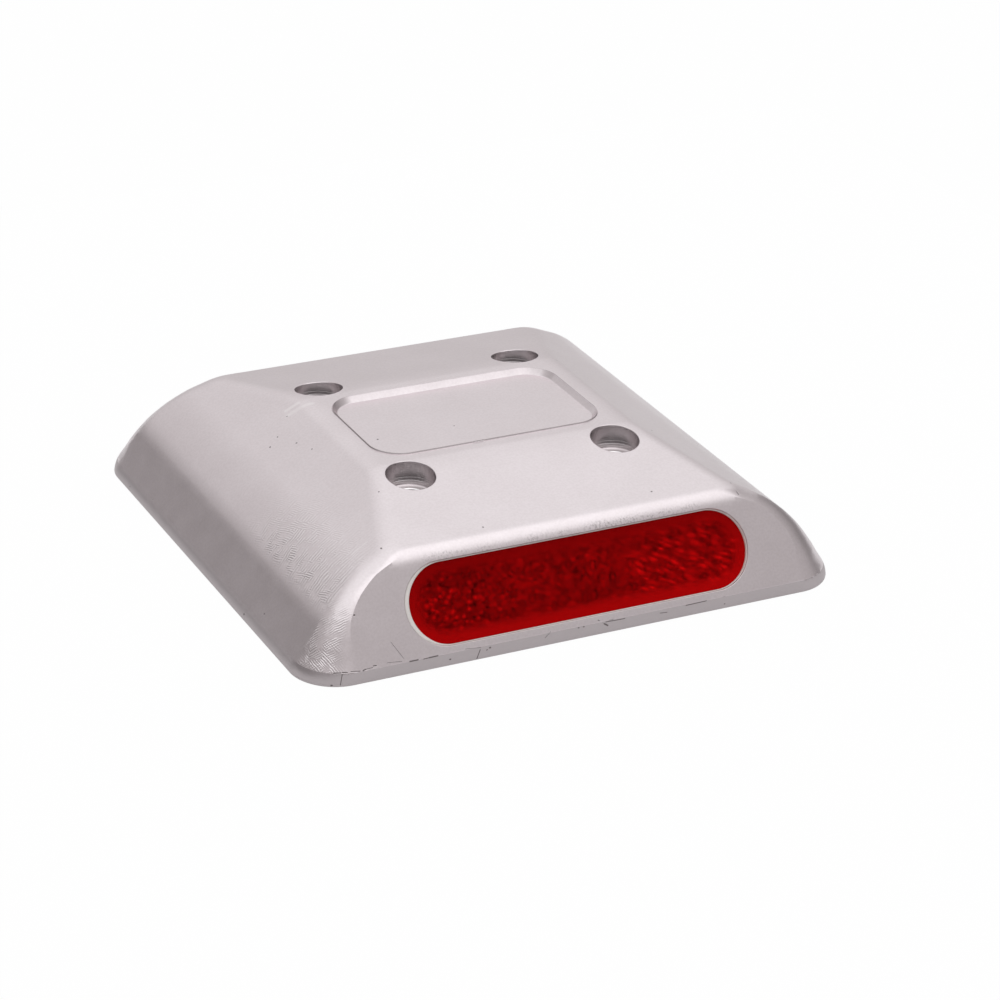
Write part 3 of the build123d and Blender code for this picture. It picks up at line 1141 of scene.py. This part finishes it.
# Pits, marks and wear: pores, dark marks along the seam above the base band, worn speckles on the brows, and
# painted shade along the panel's edge
above_band = rise - base_band * millimetre
seam = abs(above_band).ramp(0.14e-3, 0.04e-3) * out_y.ramp(58.6e-3, 59.0e-3)
seam = seam * place.noise(170, 3.0).ramp(0.66, 0.7, 0.0, 0.6)
pore_cells = place.tree.nodes.new("ShaderNodeTexVoronoi")
set_sockets(pore_cells, {"Vector": place, "Scale": pore_scale})
pores = Signal(place.tree, pore_cells.outputs["Distance"]).ramp(0.026, 0.016)
pits = strongest(seam, pores)
for mark in dark_marks:
    pits = strongest(pits, line_mark(place, *mark))
for start, finish, width in front_marks:
    pits = strongest(pits, line_mark(place, on_front(*start), on_front(*finish), width))
in_face = end_foot[0] * millimetre - out_y
up_face = arithmetic("MULTIPLY_ADD", in_face, sin(end_lean), above_band * cos(end_lean))
worn = up_face.ramp(18.7e-3, 19.1e-3) * up_face.ramp(21.2e-3, 20.0e-3)
worn = worn * out_x.ramp(38e-3, 26e-3) * out_y.ramp(44e-3, 46e-3)
worn = worn * place.noise(2300, 3.0).ramp(0.42, 0.7) * place.noise(130).ramp(0.4, 0.6, 0.12, 0.45)
# Dark pits and marks, wear on the brows, and painted shade along the panel's edge
pits_wear_and_edge_shade = strongest(pits * 0.85, stored(place.tree, "panel_edge_shade") * cloud * 0.45, worn)
scuffs = strongest(*[line_mark(place, *mark) for mark in light_marks]) * cloud * 0.9

# Colour, one layer over the other
tone = grain.ramp(0.25, 0.75, 0.25, 0.75) + mottle.ramp(0.3, 0.7, -0.12, 0.12)
colour = mixed(tone, metal_dark, metal_light)
# Layers: painted highlights on ridge tops, painted shadows in hollows, painted shade on the foot and the
# counterbore walls, the screw seats, dark pits with painted shade at the panel's edge, then scuffs
colour_layers = (
    (crest_highlights, metal_scuff_and_highlight),
    (trough_shadows, metal_painted_shade),
    (shaded_rough_foot, metal_painted_shade),
    (shaded_bore_wall, metal_bore_shade),
    (on_seat, metal_scuff_and_highlight),
    (pits_wear_and_edge_shade, metal_pit_and_shade),
    (scuffs, metal_scuff_and_highlight),
)
for share, layer in colour_layers:
    colour = mixed(share, colour, layer)

# Relief in metres: grain, slow waves, mill marks, turned hole walls and pits
turned_rings = strokes(place, (0, 0, 1), 0.5e-3, 1.0)
relief = grain * 2.2e-6 + cloud * 5e-6 + mottle * 12e-6
relief = relief + milled * strip * 50e-6 + scallops * bend_area * 48e-6
relief = relief + turned_rings * shaded_bore_wall * 3e-6 + pits * -50e-6
bump = place.tree.nodes.new("ShaderNodeBump")
set_sockets(bump, {"Distance": 1.0, "Height": relief})
set_sockets(shader, {
    "Base Color": colour,
    "Metallic": 1.0,
    "Roughness": cloud.ramp(0.3, 0.7, 0.276, 0.3) + shaded_rough_foot * 0.1,
    "Normal": Signal(place.tree, bump.outputs["Normal"]),
})

# Clear red front, faintly clouded
red_clear, shader, place = new_material("red_lens_front")
set_sockets(shader, {
    "Base Color": mixed(place.noise(300), (0.4, 0.001, 0.002, 1), (0.5, 0.002, 0.003, 1)),
    "Roughness": place.noise(700).ramp(0.3, 0.7, 0.1, 0.16),
    "Specular IOR Level": 0.02,
    "Alpha": 0.08,
})

# Moulded red field, brighter where its prisms throw light back
red_prism, shader, place = new_material("red_lens_prisms")
# Painted light: the stored brightness stands for the light the prisms throw back and for shade on the lens's
# upper part
brightness = stored(place.tree, "painted_return") + place.noise(2600).ramp(0.25, 0.75, -0.06, 0.06)
set_sockets(shader, {
    "Base Color": mixed(brightness, (0.03, 0.0005, 0.001, 1), (0.98, 0.004, 0.005, 1)),
    "Roughness": 0.5,
    "Specular IOR Level": 0.01,
})

# Pale adhesive
glue, shader, place = new_material("adhesive")
set_sockets(shader, {
    "Base Color": mixed(place.noise(420, 3.0), (0.8, 0.75, 0.72, 1), (0.95, 0.92, 0.89, 1)),
    "Roughness": 0.55,
})

# Dark red backing, hidden behind the lens
backing, shader, place = new_material("backing_plastic")
set_sockets(shader, {
    "Base Color": mixed(place.noise(500), (0.09, 0.012, 0.012, 1), (0.14, 0.02, 0.02, 1)),
    "Roughness": 0.5,
})

casting_piece.data.materials.append(aluminium)
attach(casting_piece, "root")
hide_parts("body_casting")
for name, (lens_piece, prism_piece, bed_piece) in inserts.items():
    lens_piece.data.materials.append(red_clear)
    prism_piece.data.materials.append(red_prism)
    bed_piece.data.materials.append(glue)
    for piece in (lens_piece, prism_piece, bed_piece):
        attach(piece, "root")
    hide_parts(name + "_lens")
    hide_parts(name + "_adhesive_bed")
    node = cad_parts[name + "_reflector_backing"]
    node.data.materials.clear()
    node.data.materials.append(backing)

# Camera at the photograph's viewpoint
camera_azimuth = radians(-27.39)
camera_elevation = radians(25.83)
camera_roll = radians(-2.16)
camera_distance = 725.7
camera_offset = (-8.56, 4.59)
camera_lens = 117.9
camera_sensor = 36
camera_clip = 20  # metres

forward = Vector((
    -sin(camera_azimuth) * cos(camera_elevation),
    cos(camera_azimuth) * cos(camera_elevation),
    -sin(camera_elevation),
))
level_right = Vector((cos(camera_azimuth), sin(camera_azimuth), 0))
level_down = forward.cross(level_right)
right = level_right * cos(camera_roll) + level_down * sin(camera_roll)
down = level_down * cos(camera_roll) - level_right * sin(camera_roll)
position = -right * camera_offset[0] - down * camera_offset[1] - forward * camera_distance
camera_data = bpy.data.cameras.new("camera")
camera_data.lens = camera_lens
camera_data.sensor_width = camera_sensor
camera_data.clip_end = camera_clip
camera = link_object("camera", camera_data)
turned = Matrix((right, -down, -forward)).transposed()
camera.matrix_world = Matrix.Translation(position * millimetre) @ turned.to_4x4()
bpy.context.scene.camera = camera

# Floor: white to the eye and pale in reflections, with some shading of its own for the stud's shadow
seen_share = 0.985
mirrored_share = 0.42
floor_reach = 0.22
floor_drop = 0.0002
floor_grey = (0.8, 0.8, 0.8, 1)

floor_mesh = bpy.data.meshes.new("floor")
floor_corners = [(x * floor_reach, y * floor_reach, -floor_drop) for x, y in signs]
floor_mesh.from_pydata(floor_corners, [], [(0, 2, 3, 1)])
floor = link_object("floor", floor_mesh)
floor_paint, shader = new_material("floor_white")[:2]
set_sockets(shader, {"Base Color": floor_grey, "Roughness": 1.0, "Specular IOR Level": 0.0})
floor_mesh.materials.append(floor_paint)

tree = floor_paint.node_tree
path = tree.nodes.new("ShaderNodeLightPath").outputs
seen = Signal(tree, path["Is Camera Ray"]) * seen_share
mirrored = strongest(Signal(tree, path["Is Glossy Ray"]), Signal(tree, path["Is Transmission Ray"]))
floor_glow = tree.nodes.new("ShaderNodeEmission")
floor_glow.inputs["Strength"].default_value = 1.0
floor_shader = mixed_shaders(
    strongest(seen, mirrored * mirrored_share),
    Signal(tree, shader.outputs["BSDF"]),
    Signal(tree, floor_glow.outputs["Emission"]),
)
feed(tree.nodes["Material Output"].inputs["Surface"], floor_shader)

# World: white to the eye, and for the light a plain room with a ceiling light and a pale wall at the back
room_levels = (  # height of a ray's direction, and brightness
    (0.0, 0.3), (0.09, 0.23), (0.17, 0.22), (0.28, 0.33), (0.41, 0.44),
    (0.53, 0.5), (0.64, 0.56), (0.74, 0.62), (0.83, 0.7), (1.0, 0.8),
)
front_levels = ((0.0, 0.44), (0.41, 0.45), (0.53, 0.5), (0.64, 0.56), (0.74, 0.62), (0.83, 0.7), (1.0, 0.8))
front_fade = (-0.1, -0.4)  # Y where the front of the room starts and is full
wall_levels = ((0.0, 0.58), (0.2, 0.66), (0.44, 0.77), (0.56, 0.88), (0.8, 0.98))
room_tint = (1.0, 0.925, 0.92)  # where it is darkest
white = (1, 1, 1, 1)
ceiling_level = 1.0
backdrop_level = 0.993
ceiling_edges = (  # outward X, outward Y and distance, on a ceiling at a height of 1
    (-0.54, 0.84, 0.58),
    (-0.69, -0.725, 0.9),
    (-0.333, -0.943, 0.83),
    (1.0, 0.0, 0.8),
    (0.0, 1.0, 0.6),
)
wall_edges = (  # outward X, outward Z and distance, on a wall at a distance of 1
    (-0.523, -0.852, 0.09),
    (0.864, -0.503, 0.92),
)
edge_blur = 0.03
wall_fade = (-1.0, 0.4)  # X where the wall's upper part starts and is full
wall_fade_height = (0.35, 0.75)  # Z where that fading starts and is full
lamp_place = Vector((0.25, -0.55, 1.05))
lamp_size = (1.3, 1.1)
lamp_power = 1.15

world = bpy.data.worlds.new("studio")
world.use_nodes = True
bpy.context.scene.world = world
tree = world.node_tree
ray = Signal(tree, tree.nodes.new("ShaderNodeTexCoord").outputs["Generated"])
ray_x, ray_y, ray_z = ray.parts()


def lit(node, colour, strength):
    """What a background node gives with a colour and a strength."""
    set_sockets(node, {"Color": colour, "Strength": strength})
    return Signal(tree, node.outputs["Background"])


def level_by_height(levels):
    """A background whose grey follows the height of the ray's direction, with a tint where it is dark."""
    ramp = tree.nodes.new("ShaderNodeValToRGB")
    while len(ramp.color_ramp.elements) < len(levels):
        ramp.color_ramp.elements.new(0.5)
    for element, (position, brightness) in zip(ramp.color_ramp.elements, levels):
        element.position = position
        element.color = [brightness * (tint + (1 - tint) * brightness) for tint in room_tint] + [1]
    feed(ramp.inputs["Fac"], ray_z)
    return lit(tree.nodes.new("ShaderNodeBackground"), Signal(tree, ramp.outputs["Color"]), 1.0)


def inside_edges(across, up, away, edges):
    """A share that is 1 for rays inside straight edges on a plane one unit away, and the place there."""
    distance = arithmetic("MAXIMUM", away, 0.05)
    across, up = across / distance, up / distance
    inside = away.ramp(0.05, 0.15)
    for out_across, out_up, reach in edges:
        beyond = arithmetic("MULTIPLY_ADD", across, out_across, up * out_up)
        inside = inside * beyond.ramp(reach + edge_blur, reach - edge_blur)
    return inside, across, up


wall_share, wall_x, wall_z = inside_edges(ray_x, ray_z, ray_y, wall_edges)
faded = wall_x.ramp(*wall_fade, 1.0, 0.0) * wall_z.ramp(*wall_fade_height)
ceiling_share = inside_edges(ray_x, ray_y, ray_z, ceiling_edges)[0]
ceiling = lit(tree.nodes.new("ShaderNodeBackground"), white, ceiling_level)
backdrop = lit(tree.nodes["Background"], white, backdrop_level)
studio = mixed_shaders(ray_y.ramp(*front_fade), level_by_height(room_levels), level_by_height(front_levels))
studio = mixed_shaders(wall_share * (1.0 - faded), studio, level_by_height(wall_levels))
studio = mixed_shaders(ceiling_share, studio, ceiling)
camera_ray = Signal(tree, tree.nodes.new("ShaderNodeLightPath").outputs["Is Camera Ray"])
feed(tree.nodes["World Output"].inputs["Surface"], mixed_shaders(camera_ray, studio, backdrop))

# Soft light from above, turned to the stud
lamp_data = bpy.data.lights.new("overhead", "AREA")
lamp_data.shape = "RECTANGLE"
lamp_data.size, lamp_data.size_y = lamp_size
lamp_data.energy = lamp_power
lamp = link_object("overhead", lamp_data)
lamp.location = lamp_place
lamp.rotation_euler = (-lamp_place).to_track_quat("-Z", "Y").to_euler()

bpy.context.scene.view_settings.view_transform = "Standard"
